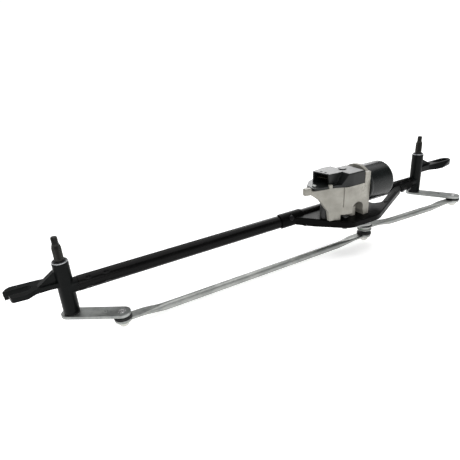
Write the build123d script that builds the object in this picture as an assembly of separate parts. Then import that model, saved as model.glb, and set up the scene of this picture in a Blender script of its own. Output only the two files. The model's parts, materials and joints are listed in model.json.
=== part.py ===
from build123d import *
import math
import os

# Windshield wiper drive: frame tube, two pivot housings, gear motor, crank, links and levers.
# Millimetres. +X runs along the frame tube from the left pivot to the right one, +Z along the
# wiper spindles. The origin is on the left spindle, half way up the land that takes the wiper arm.

os.makedirs("parts", exist_ok=True)

# Frame
tube_z = -51.0                      # height of the tube's centre line
tube_r = 11.0
tube_wall = 2.0
pivot_spacing = 714.0
tube_end_gap = 16.0                 # from a pivot axis to the tube's end
spigot_length = 34.0

# Pivot housings, heights from the tube's centre line
housing_r = 11.0
housing_length = 77.0
left_top = tube_z + 38.5
right_rise = 18.3                   # the right housing sits higher on the tube
bush_r = 8.0
bush_length = 14.0
arm_drop = 26.5                     # from a housing's top to its arm's top face
arm_web_rise = 20.0                 # the arm's web stands this much above its plate at the housing
left_plate = 7.0                    # thickness of the left arm's plate
left_prong = 13.0                   # depth of its far prong
right_depth = 11.0                  # depth of the right arm
left_slot_r = 6.5
left_slot = (-47.0, 6.0)            # closed end of the left fork's slot, from the pivot
right_slot_r = 6.0
right_slot = (90.0, -1.0)           # outer end of the right arm's slot, from the pivot
right_slot_length = 28.0            # between the slot's end centres

# Spindles and levers
spindle_r = 6.2
spindle_run = 0.06                  # radial running clearance in the bushes
groove_height = 2.1                 # from the housing's top to the retaining ring's groove
land_start = 3.5                    # from the housing's top to the start of the arm's land
land_length = 18.0
tip_r = 4.5
spindle_rise = 36.8                 # from the housing's top to the spindle's tip
washer_r = 10.4
lever_width = 24.0
lever_thickness = 4.5
lever_tail = 3.5                    # extra length of the lever beyond the spindle
lever_drop = 2.5                    # from the housing's lower end to the lever's top
lever_hole = 48.5                   # small hole in the lever, from the spindle
left_lever_length = 71.4
left_lever_angle = -33.8
right_lever_length = 75.5
right_lever_angle = -60.8

# Crank and links
output_x = 473.0
output_y = -24.0
crank_length = 53.2
crank_angle = -22.8
crank_top = tube_z - 28.0
crank_thickness = 4.0
crank_joggle = 12.0                 # the crank's hub is this much higher than its outer end
link_r = 6.0
link_flat = 4.0
flat_width = 17.0
flat_end = 24.0                     # from an eye to the end of the link's flat
round_start = 66.0                  # from an eye to the start of the full round section
eye_r = 12.0
right_link_z = tube_z - 37.0        # middle of the right link's flat at the crank
right_link_lift = 4.0               # its other end sits this much higher
left_link_z = tube_z - 53.0         # middle of the left link's flats
rod_drop = 4.0                      # the round part of a link runs lower than its flat ends
ball_r = 6.0
socket_r = 8.2
socket_gap = 0.3
ball_drop = 4.0                     # a ball's centre sits this much below the flat's middle
journal_r = 5.0                     # plain part of the crank pin, in the right link's bush
collar_top = tube_z - 40.5          # collar between the crank pin's journal and its ball
collar_thickness = 1.4
lower_seal_top = tube_z - 46.8
stud_r = 4.0
part_gap = 0.3                      # between pieces that turn past each other

# Motor and gearbox
motor_y = -45.0
motor_z = tube_z + 50.5
can_r = 32.4
can_wall = 1.6
flange_x = 497.0
can_end_x = 554.0
flange_thickness = 6.0
split_z = tube_z + 62.0             # joint between casting and cover
cover_top = tube_z + 84.0
plate_top = tube_z + 5.0
plate_thickness = 2.5
bend_r = 2.0                        # outside radius where the bracket's rim turns down
rim_depth = 10.0
deep_rim = 14.0                     # depth of the rim at its left end
wheel_r = 16.6
worm_r = 5.2
shaft_r = 6.0
wheel_z = motor_z - 6.0
wheel_height = 12.0

left_pivot = (0.0, 0.0)
right_pivot = (pivot_spacing, 0.0)


def polar(centre, length, angle):
    """The point at a length and an angle, in degrees, from a centre, seen from above."""
    turn = math.radians(angle)
    return (centre[0] + length * math.cos(turn), centre[1] + length * math.sin(turn))


crank_centre = (output_x, output_y)
crank_hub_top = crank_top + crank_joggle
output_tail_r = 4.7                 # the output shaft's seat for the crank
crank_pin = polar(crank_centre, crank_length, crank_angle)
left_ball = polar(left_pivot, left_lever_length, left_lever_angle)
right_ball = polar(right_pivot, right_lever_length, right_lever_angle)
right_top = left_top + right_rise
left_lever_top = left_top - housing_length - lever_drop
right_lever_top = left_lever_top + right_rise


def post(radius, bottom, top, centre=(0.0, 0.0)):
    """An upright cylinder between two heights."""
    return Pos(centre[0], centre[1], (bottom + top) / 2) * Cylinder(radius, top - bottom)


def ring(outer, inner, bottom, top, centre=(0.0, 0.0)):
    """An upright ring between two heights."""
    return post(outer, bottom, top, centre) - post(inner, bottom - 1, top + 1, centre)


def barrel(radius, start, end, y, z):
    """A cylinder along X between two stations."""
    return Pos((start + end) / 2, y, z) * Rot(0, 90, 0) * Cylinder(radius, end - start)


def slab(points, bottom, top, radii=None):
    """A plan outline, with rounded corners where radii are given, raised between two heights."""
    outline = FilletPolyline(*points, radius=radii, close=True) if radii else Polyline(*points, close=True)
    return extrude(Pos(0, 0, bottom) * make_face(outline), top - bottom)


def save(shape, node):
    export_step(shape, "parts/" + node + ".step")


# ---------------------------------------------------------------- frame

def frame_tube():
    start = tube_end_gap
    end = pivot_spacing - tube_end_gap
    tube = barrel(tube_r, start, end, 0, tube_z)
    tube -= barrel(tube_r - tube_wall, start - 1, end + 1, 0, tube_z)
    for x, angle in rivet_places:
        tube -= rivet_shape(x, angle, rivet_r + 0.05, 0)
    return tube


rivet_r = 2.5
rivet_places = [(378.0, 151.0), (664.0, 215.0), (682.0, 215.0)]     # station and angle about the tube


def rivet_shape(x, angle, radius, head_r):
    """A rivet through one wall of the tube, pointing out at an angle in the tube's section."""
    shank = Pos(0, 0, tube_r + 1) * Cylinder(radius, 8)
    if head_r:
        head_top = tube_r + 2.2
        dome = Pos(0, 0, head_top) * Sphere(head_r) & Pos(0, 0, head_top + 5) * Box(20, 20, 10)
        inner = tube_r - tube_wall + 0.1
        shank = Pos(0, 0, (inner + head_top) / 2) * Cylinder(radius, head_top - inner) + dome
        shank = shank - Pos(0, 0, head_top + 10 + 2.4) * Box(20, 20, 20)
    return Pos(x, 0, tube_z) * Rot(angle - 90, 0, 0) * shank


def arm_web(top, low, reach):
    """The upright web where an arm leaves its housing, on the +X side."""
    side = make_face(Polyline((0, low), (0, top + arm_web_rise), (12, top + 0.75 * arm_web_rise),
                              (reach, top), (reach, low), close=True))
    return Pos(0, 2, 0) * extrude(Plane.XZ * side, 5, both=True)


def left_arm(top):
    """The left arm: a plate that ends in an open fork towards -X, with a deeper far prong."""
    corners = [(0, -9), (-20, -6), (-37, -6), (-48, -13), (-67, -11), (-69, 0), (-77, 12), (-69, 25),
               (-28, 21), (0, 9)]
    radii = [0.5, 10, 6, 6, 5, 4, 9, 10, 20, 0.5]
    plan = make_face(FilletPolyline(*corners, radius=radii, close=True))
    outline = Pos(0, 0, top - left_prong) * extrude(plan, left_prong)
    plate = outline & Pos(-40, 0, top - left_plate / 2) * Box(120, 80, left_plate)
    prong = outline & Pos(-57, 20, top - left_prong / 2) * Box(54, 11, left_prong)
    arm = plate + prong
    arm -= post(left_slot_r, top - 20, top + 1, left_slot)
    arm -= Pos(left_slot[0] - 30, left_slot[1], top - 8) * Box(60, 2 * left_slot_r, 20)
    return arm + mirror(arm_web(top, top - left_plate, 34), Plane.YZ)


def right_arm(top):
    """The right arm: longer and narrower, with a closed oval slot and a near side that slopes outwards."""
    corners = [(0, -9), (30, -9), (46, -16), (62, -18), (82, -14), (99, -10), (105, 0), (99, 7), (88, 9),
               (0, 9)]
    radii = [0.5, 12, 12, 20, 20, 8, 5, 8, 10, 0.5]
    plan = make_face(FilletPolyline(*corners, radius=radii, close=True))
    arm = Pos(0, 0, top - right_depth) * extrude(plan, right_depth)
    low = top - right_depth
    slope = make_face(Polyline((-30, low), (-18, low), (-10, top + 1), (-30, top + 1), close=True))
    arm -= Pos(36, 0, 0) * extrude(Plane.YZ * slope, 80)
    slot = extrude(SlotCenterToCenter(right_slot_length, 2 * right_slot_r), 30)
    arm -= Pos(right_slot[0] - right_slot_length / 2, right_slot[1], top - 20) * slot
    return arm + arm_web(top, low, 40)


def pivot_housing(side, centre, top):
    """A cast housing with a spigot in the tube's end and a mounting arm on the other side."""
    bottom = top - housing_length
    neck = barrel(tube_r - 0.4, 0, tube_end_gap, 0, tube_z)
    neck += barrel(tube_r - tube_wall - 0.03, tube_end_gap - 1, tube_end_gap + spigot_length, 0, tube_z)
    if side == "left":
        body = neck + left_arm(top - arm_drop)
    else:
        body = mirror(neck, Plane.YZ) + right_arm(top - arm_drop)
    body += post(housing_r, bottom, top)
    body -= post(spindle_r + 1.0, bottom - 1, top + 1)
    for low in (bottom, top - bush_length):
        body -= post(bush_r, low, low + bush_length)
    return Pos(centre[0], centre[1], 0) * body


def pivot_bush(centre, bottom):
    return ring(bush_r, spindle_r + spindle_run, bottom, bottom + bush_length, centre)


# ---------------------------------------------------------------- spindles and levers

def spindle(centre, top):
    """The wiper spindle: lower rivet neck, running length, land for the arm, taper and reduced tip."""
    lever_top = top - housing_length - lever_drop
    lever_bottom = lever_top - lever_thickness
    land_top = top + land_start + land_length
    tip = top + spindle_rise
    groove = top + groove_height
    profile = Polyline(
        (0, lever_bottom - 1.6), (5.6, lever_bottom - 1.6), (6.8, lever_bottom - 0.8), (6.8, lever_bottom),
        (5.5, lever_bottom), (5.5, lever_top), (spindle_r, lever_top), (spindle_r, groove - 0.05),
        (5.4, groove - 0.05), (5.4, groove + 1.05), (spindle_r, groove + 1.05), (spindle_r, land_top),
        (tip_r + 0.4, land_top + 4.5), (tip_r, land_top + 5.5), (tip_r, tip - 0.8), (tip_r - 0.8, tip),
        (0, tip), close=True)
    return Pos(centre[0], centre[1], 0) * revolve(Plane.XZ * make_face(profile), Axis.Z)


def retaining_ring(centre, top):
    """An open ring that snaps into the spindle's groove."""
    groove = top + groove_height
    clip = ring(8.6, 5.45, groove, groove + 1.0, centre)
    return clip - Pos(centre[0], centre[1] + 8, groove + 0.5) * Box(5, 10, 3)


def lever(centre, ball, top):
    """A flat bar with round ends, from just beyond the spindle to the ball stud."""
    dx = ball[0] - centre[0]
    dy = ball[1] - centre[1]
    length = math.hypot(dx, dy)
    bar = Pos((length - lever_tail) / 2, 0, 0) * extrude(SlotCenterToCenter(length + lever_tail, lever_width),
                                                         lever_thickness)
    bar -= Cylinder(5.5, 20)
    bar -= Pos(length, 0, 0) * Cylinder(stud_r, 20)
    bar -= Pos(lever_hole, 0, 0) * Cylinder(2.5, 20)
    turn = math.degrees(math.atan2(dy, dx))
    return Pos(centre[0], centre[1], top - lever_thickness) * Rot(0, 0, turn) * bar


def lever_rivet(ball, top):
    """The riveted head of the ball stud, flush under the lever and slightly raised above it."""
    profile = Polyline((0, top - lever_thickness), (stud_r, top - lever_thickness), (stud_r, top), (5.2, top),
                       (4.8, top + 0.5), (2.0, top + 0.9), (0, top + 0.9), close=True)
    return Pos(ball[0], ball[1], 0) * revolve(Plane.XZ * make_face(profile), Axis.Z)


# ---------------------------------------------------------------- ball joints and links

def ball_stud(ball, lever_bottom, flat_z):
    """A ball on a flanged neck that hangs under its lever."""
    top = lever_bottom - part_gap
    centre_z = flat_z - ball_drop
    stud = post(stud_r, centre_z, top, ball) + Pos(ball[0], ball[1], centre_z) * Sphere(ball_r)
    return stud + post(6.0, top - 1.0, top, ball)


def joint_seal(ball, bottom, top, hole):
    """A soft ring between a lever or collar and the link's flat end."""
    profile = Polyline((hole, bottom), (12.4, bottom), (12.8, bottom + 0.5), (12.4, top), (hole, top),
                       close=True)
    return Pos(ball[0], ball[1], 0) * revolve(Plane.XZ * make_face(profile), Axis.Z)


def closed_socket(ball, flat_z):
    """A plastic ball socket pressed into a link's eye, domed below."""
    centre_z = flat_z - ball_drop
    flat_top = flat_z + link_flat / 2
    flat_bottom = flat_z - link_flat / 2
    bowl = Pos(ball[0], ball[1], centre_z) * Sphere(socket_r) & post(socket_r, centre_z - 20, flat_top, ball)
    bowl += post(socket_r, centre_z, flat_top, ball)
    bowl += ring(eye_r - 1.5, socket_r - 1, flat_bottom - 1.2, flat_bottom, ball)
    bowl -= Pos(ball[0], ball[1], centre_z) * Sphere(ball_r + socket_gap)
    return bowl - post(ball_r - 1.6, centre_z, flat_top + 1, ball)


def crank_bush():
    """The plain plastic bush in the right link's crank end, with a flange under the eye."""
    flat_top = right_link_z + link_flat / 2
    flat_bottom = right_link_z - link_flat / 2
    bush = ring(socket_r, journal_r + spindle_run, flat_bottom - 0.2, flat_top, crank_pin)
    return bush + ring(eye_r - 1.5, journal_r + spindle_run, flat_bottom - 1.2, flat_bottom, crank_pin)


def crank_ball_pin():
    """The crank's pin: riveted head, journal for the right link, collar, and a ball for the left link."""
    crank_bottom = crank_top - crank_thickness
    collar_bottom = collar_top - collar_thickness
    ball_z = left_link_z - ball_drop
    pin = post(6.4, crank_top, crank_top + 1.6, crank_pin)
    pin += post(stud_r, crank_bottom, crank_top, crank_pin)
    pin += post(journal_r, collar_top, crank_bottom, crank_pin)
    pin += post(13.0, collar_bottom, collar_top, crank_pin)
    pin += post(stud_r, ball_z, collar_bottom, crank_pin)
    return pin + Pos(crank_pin[0], crank_pin[1], ball_z) * Sphere(ball_r)


def link(start, end, start_z, end_z):
    """A round tube pressed flat at both ends, with an eye in each; the heights are the flats' middles."""
    dx = end[0] - start[0]
    dy = end[1] - start[1]
    length = math.hypot(dx, dy)
    turn = math.degrees(math.atan2(dy, dx))
    rise = end_z - start_z
    body = None
    sections = []
    for x, z, is_flat in ((flat_end, 0, True), (round_start, -rod_drop, False),
                          (length - round_start, rise - rod_drop, False), (length - flat_end, rise, True)):
        plane = Plane((x, 0, z), x_dir=(0, 1, 0), z_dir=(1, 0, 0))
        outline = RectangleRounded(flat_width, link_flat, 1.9) if is_flat else Circle(link_r)
        sections.append(plane * outline)
    for first, second in zip(sections, sections[1:]):
        piece = loft([first, second])
        body = piece if body is None else body + piece
    for eye, edge, z in ((0.0, flat_end, 0), (length, length - flat_end, rise)):
        body += Pos(eye, 0, z) * Cylinder(eye_r, link_flat)
        body += Pos((eye + edge) / 2, 0, z) * Box(abs(edge - eye), flat_width, link_flat)
        body -= Pos(eye, 0, z) * Cylinder(socket_r, 3 * link_flat)
    return Pos(start[0], start[1], start_z) * Rot(0, 0, turn) * body


# ---------------------------------------------------------------- crank

def crank_arm():
    """A joggled arm: a hub high under the bracket, a slope, and a lower end that carries the pin."""
    slope_end = 11 + crank_joggle * 0.75
    tip = crank_length + 12
    t = crank_thickness
    side = Polyline((-13, crank_hub_top), (11, crank_hub_top), (slope_end, crank_top), (tip, crank_top),
                    (tip, crank_top - t), (slope_end - 1, crank_top - t), (10, crank_hub_top - t),
                    (-13, crank_hub_top - t), close=True)
    strip = extrude(Plane.XZ * make_face(side), 13, both=True)
    outline = Pos(crank_length / 2, 0, tube_z - 60) * extrude(SlotCenterToCenter(crank_length, 24), 120)
    arm = strip & outline
    arm -= Pos(crank_length, 0, crank_top) * Cylinder(stud_r, 20)
    arm -= Pos(0, 0, crank_hub_top) * Cylinder(output_tail_r + 0.1, 20)
    return Pos(output_x, output_y, 0) * Rot(0, 0, crank_angle) * arm


def crank_nut():
    hub_bottom = crank_hub_top - crank_thickness
    nut = extrude(Pos(output_x, output_y, hub_bottom - 5.5) * RegularPolygon(7.5, 6), 5.5)
    return nut - post(4.1, hub_bottom - 7, hub_bottom + 1, crank_centre)


def output_shaft():
    """The wheel's shaft: running length, a stepped seat for the crank, and a threaded end for its nut."""
    hub_bottom = crank_hub_top - crank_thickness
    shaft = post(shaft_r, crank_hub_top, wheel_z + wheel_height / 2 + 3, crank_centre)
    shaft += post(output_tail_r, hub_bottom, crank_hub_top, crank_centre)
    return shaft + post(4.0, hub_bottom - 7.0, crank_hub_top, crank_centre)


def worm_wheel():
    """The plastic wheel; its teeth are shallow and straight."""
    low = wheel_z - wheel_height / 2
    wheel = ring(wheel_r - 1.2, shaft_r + 3.0, low, low + wheel_height, crank_centre)
    count = 42
    tooth = Pos(wheel_r - 1.0, 0, wheel_z) * Box(1.6, 0.9, wheel_height)
    for step in range(count):
        wheel += Pos(output_x, output_y, 0) * Rot(0, 0, 360 * step / count) * tooth
    return wheel


def wheel_hub():
    low = wheel_z - wheel_height / 2
    return ring(shaft_r + 3.0, shaft_r, low - 0.5, low + wheel_height + 1.0, crank_centre)


# ---------------------------------------------------------------- gearbox

casting_plan = [(378, -50), (430, -62), (448, -73), (flange_x, -73), (flange_x, -2), (440, -2), (412, -12),
                (394, -30)]
wall_end = (438.0, -62.0 - 8.0 * 11.0 / 18.0)      # on the plan's line towards (448, -73)
casting_floor = tube_z + 14.0       # underside of the gear chamber
shelf_floor = tube_z + 57.0         # underside of the thin shelf left of the chamber
ear_floor = tube_z + 33.0           # underside of the ear on the stand-off
ear_top = tube_z + 39.0
end_wall_x = 485.0                  # the casting's end wall, which carries the motor's flange
flange_r = 37.0
standoff_place = (425.0, -42.0)
foot_hole_top = tube_z + 18.0
mount_screws = [((432.5, -58.0), foot_hole_top), ((491.0, -60.0), foot_hole_top),
                (standoff_place, ear_top - 1.0)]
cover_screw_places = [(402.0, -41.0), (447.0, -8.0), (480.0, -6.8)]
can_screw_places = [(motor_y + 31.0, motor_z + 20.0), (motor_y + 31.0, motor_z - 20.0)]
ear_r = 6.0


def casting_shell():
    """The casting's outside: shelf, gear chamber, tapering front wall, feet, ears and end wall."""
    front_profile = make_face(Polyline(
        (377, split_z), (377, tube_z + 58), (387, tube_z + 57), (402, tube_z + 45), (409, tube_z + 34.5),
        (418, tube_z + 22), (420.5, plate_top), (flange_x, plate_top), (flange_x, split_z), close=True))
    silhouette = Pos(0, -90, 0) * extrude(Plane.XZ * front_profile, -100)
    shelf = slab(casting_plan, shelf_floor, split_z)
    chamber = slab([(430, -62), (448, -73), (flange_x, -73), (flange_x, -2), (446, -2), (446, -20)],
                   casting_floor, split_z, [0.5, 30, 0.5, 6, 8, 8])
    front_wall = slab([(378, -50), (430, -62), wall_end, (438, -58), (432, -56.5), (380, -44)],
                      plate_top, split_z)
    body = (shelf + chamber + front_wall) & silhouette
    body += slab([(421, -60), (430, -62), wall_end, (438, -51), (423, -51)], plate_top, tube_z + 22)
    body += slab([(425, -50.5), (437, -50.5), (444, -33.5), (425, -33.5)], ear_floor, ear_top)
    body += post(8.5, ear_floor, ear_top, standoff_place)
    lobe = slab([(373.5, -50.5), (386.5, -53.5), (389, -45), (375.5, -41.5)], shelf_floor, tube_z + 68.5,
                [4.2, 3, 3, 4.2])
    body += fillet(lobe.edges().group_by(Axis.Z)[0] + lobe.edges().group_by(Axis.Z)[-1], 1.5)
    body += slab([(418.5, -59.4), (425, -61.0), (425, -56), (418.5, -54.6)], split_z - 1, tube_z + 68,
                 [1.6, 1.6, 1.6, 1.6])
    body += post(10.0, tube_z - 3.0, casting_floor + 1, crank_centre)
    body += slab([(end_wall_x, -73), (flange_x, -73), (flange_x, -50), (end_wall_x, -50)],
                 plate_top, tube_z + 80)
    disc = barrel(flange_r, flange_x - flange_thickness, flange_x, motor_y, motor_z)
    return body + (disc & Pos(flange_x, -23, motor_z) * Box(40, 100, 100))


def gear_housing():
    """The die casting with its arched front window, gear chamber, worm bore and screw holes."""
    body = casting_shell()
    for y, z in can_screw_places:
        body += barrel(ear_r, flange_x - flange_thickness, flange_x, y, z)
        body -= barrel(2.05, flange_x - flange_thickness + 1, flange_x + 1, y, z)
    body -= Pos(471, -67, tube_z + 19) * Rot(90, 0, 0) * Cylinder(12.5, 26)
    boss = post(6.8, plate_top, tube_z + 22, (470, -59.5))
    body += fillet(boss.edges().group_by(Axis.Z)[-1], 3.0)
    body -= Pos(442, -68.6, tube_z + 46) * Rot(0, 0, -31) * Box(1.4, 3.0, 36)
    body -= post(wheel_r + 1.9, wheel_z - wheel_height / 2 - 1.5, split_z + 1, crank_centre)
    body -= barrel(6.0, 440, flange_x + 1, motor_y, motor_z)
    body -= barrel(8.0, flange_x - 9, flange_x + 1, motor_y, motor_z)
    body -= Pos(462, motor_y, (motor_z + split_z + 1) / 2) * Box(44, 12, split_z + 1 - motor_z)
    body -= post(8.0, tube_z - 4, wheel_z, crank_centre)
    for place, top in mount_screws:
        body -= post(3.05, plate_top - 1, top, place)
    for place in cover_screw_places:
        body -= post(1.85, split_z - 4.5, split_z + 1, place)
    return body


def output_bush():
    return ring(8.0, shaft_r + spindle_run, tube_z - 3.0, wheel_z - wheel_height / 2 - 1.5, crank_centre)


cover_end_x = 484.5
socket_mouth = (420.5, -35.5)       # middle of the connector socket's mouth
socket_turn = 12.0                  # the socket is turned by this angle about +Z
socket_depth = 23.5
socket_floor = tube_z + 65.5
socket_roof = cover_top - 2.0
pin_pitch = 4.0


def in_socket(along, across, z):
    """A place in the connector socket, along its axis from the mouth and across it."""
    return Pos(socket_mouth[0], socket_mouth[1], z) * Rot(0, 0, socket_turn) * Pos(along, across, 0)


def gear_cover():
    """A moulded cover: thin base, raised box over the worm, and a socket that opens towards -X."""
    base_plan = [(392, -52), (430, -60.8), (450, -72.4), (cover_end_x, -72.4), (cover_end_x, -3), (441, -3),
                 (413, -13), (396, -30)]
    cover = slab(base_plan, split_z, split_z + 4, [4, 20, 36, 0.5, 4, 8, 12, 6])
    high = slab([(434, -62.8), (450, -72.4), (cover_end_x, -72.4), (cover_end_x, -28), (440, -27)],
                split_z, cover_top, [8, 36, 0.5, 4, 4])
    left_slant = make_face(Polyline((436, split_z), (cover_end_x, split_z), (cover_end_x, cover_top),
                                    (450, cover_top), close=True))
    high = high & Pos(0, -80, 0) * extrude(Plane.XZ * left_slant, -60)
    cover += fillet(high.edges().group_by(Axis.Z)[-1], 2.0)
    cover += slab([(424, -52), (456, -55), (460, -16), (443, -13.5), (417, -19)], split_z, cover_top)
    cover += post(6.5, cover_top - 1, cover_top + 1.2, (463, -41))
    bump = post(14.0, split_z + 3, split_z + 9, crank_centre)
    cover += bump & Pos(cover_end_x - 30, output_y, split_z) * Box(60, 60, 60)
    cover -= slab([(457, -69), (482, -69), (482, -31), (461, -31)], split_z - 1, cover_top - 2.5)
    height = socket_roof - socket_floor
    middle = (socket_floor + socket_roof) / 2
    cover -= in_socket(socket_depth / 2 - 1, 0, middle) * Box(socket_depth + 2, 28, height)
    cover -= slab([(417.9, -62), (425.6, -63.5), (425.6, -55.5), (417.9, -54)], split_z - 1, split_z + 5)
    for across in (-5.0, 4.0):
        cover -= in_socket(6.0, across, cover_top) * Box(3.0, 4.0, 1.6)
    for place in cover_screw_places:
        cover -= post(2.2, split_z - 1, split_z + 5, place)
    for pin in pin_places():
        cover -= pin * Pos(14, 0, 0) * Box(22.0, 2.1, 0.9)
    return cover


def pin_places():
    """The front ends of six blade terminals in one row of the socket."""
    middle = (socket_floor + socket_roof) / 2
    return [in_socket(6.0, pin_pitch * (step - 2.5), middle) for step in range(6)]


def connector_pins():
    return Compound(children=[pin * Pos(12, 0, 0) * Box(24.0, 2.0, 0.8) for pin in pin_places()])


def contact_plate():
    """The contact board under the cover's roof."""
    return slab([(459, -67), (481, -67), (481, -33), (463, -33)], cover_top - 4.1, cover_top - 2.5)


def hex_screw(place, head_bottom, head_top, shank_top):
    """A nut on a stud that stands out below it."""
    head = extrude(Pos(place[0], place[1], head_bottom) * RegularPolygon(5.5, 6), head_top - head_bottom)
    return head + post(3.0, head_bottom - 6.0, shank_top, place)


def motor_mount_screws():
    """Studs with nuts, which clamp the gearbox feet to the bracket from below."""
    under = plate_top - plate_thickness
    return Compound(children=[hex_screw(place, under - 6.5, under, top - 0.5) for place, top in mount_screws])


def cover_screws():
    screws = []
    for place in cover_screw_places:
        top = split_z + 4
        screw = post(3.8, top, top + 2.4, place) + post(1.8, top - 8, top, place)
        screws.append(screw - Pos(place[0], place[1], top + 2.0) * Box(1.2, 5.0, 1.2))
    return Compound(children=screws)


def mount_standoff():
    return ring(7.5, 3.05, plate_top, ear_floor, standoff_place)


# ---------------------------------------------------------------- motor

def motor_can():
    """A deep-drawn cup, open towards the gearbox, with a bearing dimple in its closed end."""
    start = flange_x + 2.0
    outer = barrel(can_r, start, can_end_x, motor_y, motor_z)
    outer = fillet(outer.edges().sort_by(Axis.X)[-1], 6.0)
    outer += barrel(10.0, can_end_x - 1, can_end_x + 3, motor_y, motor_z)
    can = outer - barrel(can_r - can_wall, start - 1, can_end_x - 6.5, motor_y, motor_z)
    can -= barrel(can_r - 7.0, can_end_x - 7, can_end_x - can_wall, motor_y, motor_z)
    can -= barrel(8.0, can_end_x - 4, can_end_x + 1.5, motor_y, motor_z)
    return can


def motor_end_plate():
    """The steel plate that closes the can's open end, with two ears for its screws."""
    plate = barrel(can_r, flange_x, flange_x + 2.0, motor_y, motor_z)
    for y, z in can_screw_places:
        plate += barrel(ear_r, flange_x, flange_x + 2.0, y, z)
        plate -= barrel(2.1, flange_x - 1, flange_x + 3, y, z)
    return plate - barrel(8.0, flange_x - 1, flange_x + 3, motor_y, motor_z)


def can_screws():
    """Two screws through the end plate's ears into the gearbox flange."""
    screws = []
    for y, z in can_screw_places:
        head = barrel(3.6, flange_x + 2.0, flange_x + 5.0, y, z)
        screws.append(head + barrel(2.0, flange_x - 4.5, flange_x + 2.0, y, z))
    return Compound(children=screws)


def magnets():
    """Two curved field magnets inside the can."""
    shell = barrel(can_r - can_wall, 507, 545, motor_y, motor_z) - barrel(26.4, 506, 546, motor_y, motor_z)
    return shell - Pos(526, motor_y, motor_z) * Box(60, 80, 16)


def armature_shaft():
    """The armature's shaft, with the worm as a run of raised threads near its front end."""
    shaft = barrel(3.95, flange_x + 1.0, can_end_x + 1.0, motor_y, motor_z)
    shaft += barrel(3.4, 446, flange_x + 2.0, motor_y, motor_z)
    for step in range(14):
        x = 454 + 2.4 * step
        shaft += barrel(4.25, x, x + 1.2, motor_y, motor_z)
    return shaft


def armature_core():
    """The laminated core, with twelve slots."""
    core = barrel(24.6, 517, 541, motor_y, motor_z) - barrel(3.95, 516, 542, motor_y, motor_z)
    slot = Pos(529, 0, 21.5) * Box(26, 3.2, 9.0)
    for step in range(12):
        core -= Pos(0, motor_y, motor_z) * Rot(30 * step, 0, 0) * slot
    return core


def armature_windings():
    """The two end turns of the winding, one on each face of the core."""
    ends = []
    for low, high in ((512, 517), (541, 545.5)):
        bore = barrel(3.95, low - 1, high + 1, motor_y, motor_z)
        ends.append(barrel(20.5, low, high, motor_y, motor_z) - bore)
    return Compound(children=ends)


def commutator():
    body = barrel(10.0, 503, 511.5, motor_y, motor_z) - barrel(3.95, 502, 513, motor_y, motor_z)
    for step in range(12):
        body -= Pos(0, motor_y, motor_z) * Rot(30 * step, 0, 0) * (Pos(507, 0, 9.8) * Box(10, 0.6, 1.6))
    return body


def brush_plate():
    return barrel(30.5, 499.2, 501.6, motor_y, motor_z) - barrel(12.0, 498, 503, motor_y, motor_z)


def brushes():
    """Two carbon brushes, one on each side of the commutator."""
    blocks = []
    for side in (-1, 1):
        blocks.append(Pos(505.1, motor_y + side * 16.4, motor_z) * Box(7.0, 12.0, 5.0))
    return Compound(children=blocks)


def armature_bearing(low, high, bore_r):
    return barrel(8.0, low, high, motor_y, motor_z) - barrel(bore_r, low - 1, high + 1, motor_y, motor_z)


# ---------------------------------------------------------------- bracket

def motor_bracket():
    """A stamped plate with a turned-down rim, from a saddle on the left to a saddle on the right."""
    corners = [(386, -9), (444, -87.5), (508, -89), (640, -24), (656, -9), (640, -9), (628, -14), (556, -50),
               (541, -44), (536, -9)]
    radii = [2, 22, 40, 30, 2, 2, 12, 12, 6, 4]
    plan = make_face(FilletPolyline(*corners, radius=radii, close=True))
    inside = offset(plan, -plate_thickness, kind=Kind.INTERSECTION)
    bottom = plate_top - deep_rim
    pressing = Pos(0, 0, bottom) * extrude(plan, deep_rim)
    pressing = fillet(pressing.edges().group_by(Axis.Z)[-1], bend_r)
    pressing -= Pos(0, 0, bottom - 1) * extrude(inside, deep_rim - plate_thickness + 1)
    shallow_z = plate_top - rim_depth
    below = make_face(Polyline((408, bottom), (450, shallow_z), (700, shallow_z), (700, bottom - 1),
                               (408, bottom - 1), close=True))
    bracket = pressing - Pos(0, -200, 0) * extrude(Plane.XZ * below, -300)
    bead = extrude(SlotCenterToCenter(60, 8), 2.2)
    bead = fillet(bead.edges().group_by(Axis.Z)[-1], 1.8)
    bracket += Pos(589, -41.5, plate_top - 0.9) * Rot(0, 0, 26.4) * bead
    bracket += post(3.2, bottom - 5, plate_top - 1, (405.5, -14.8))
    for start, end, low, high in ((358, 405, 75, 230), (642, 692, 165, 300)):
        bracket += saddle(start, end, low, high)
    bracket -= barrel(tube_r, 300, pivot_spacing, 0, tube_z)
    bracket -= post(10.5, bottom - 5, plate_top + 1, crank_centre)
    for place, _ in mount_screws:
        bracket -= post(3.05, bottom - 1, plate_top + 1, place)
    bracket -= post(pin_r + 0.05, bottom - 1, plate_top + 1, pin_place)
    for x, angle in rivet_places:
        bracket -= rivet_shape(x, angle, rivet_r + 0.05, 0)
    return bracket


def saddle(start, end, low, high):
    """A part shell about the tube between two angles, measured in its section from +Y."""
    shell = barrel(tube_r + 2.2, start, end, 0, tube_z) - barrel(tube_r, start - 1, end + 1, 0, tube_z)
    reach = 40.0
    corners = [(0, 0)]
    steps = 4
    for step in range(steps + 1):
        turn = math.radians(low + (high - low) * step / steps)
        corners.append((reach * math.cos(turn), reach * math.sin(turn)))
    section = Plane((start, 0, tube_z), x_dir=(0, 1, 0), z_dir=(1, 0, 0))
    return shell & extrude(section * make_face(Polyline(*corners, close=True)), end - start)


pin_place = (455.0, -61.0)
pin_r = 3.6


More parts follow.
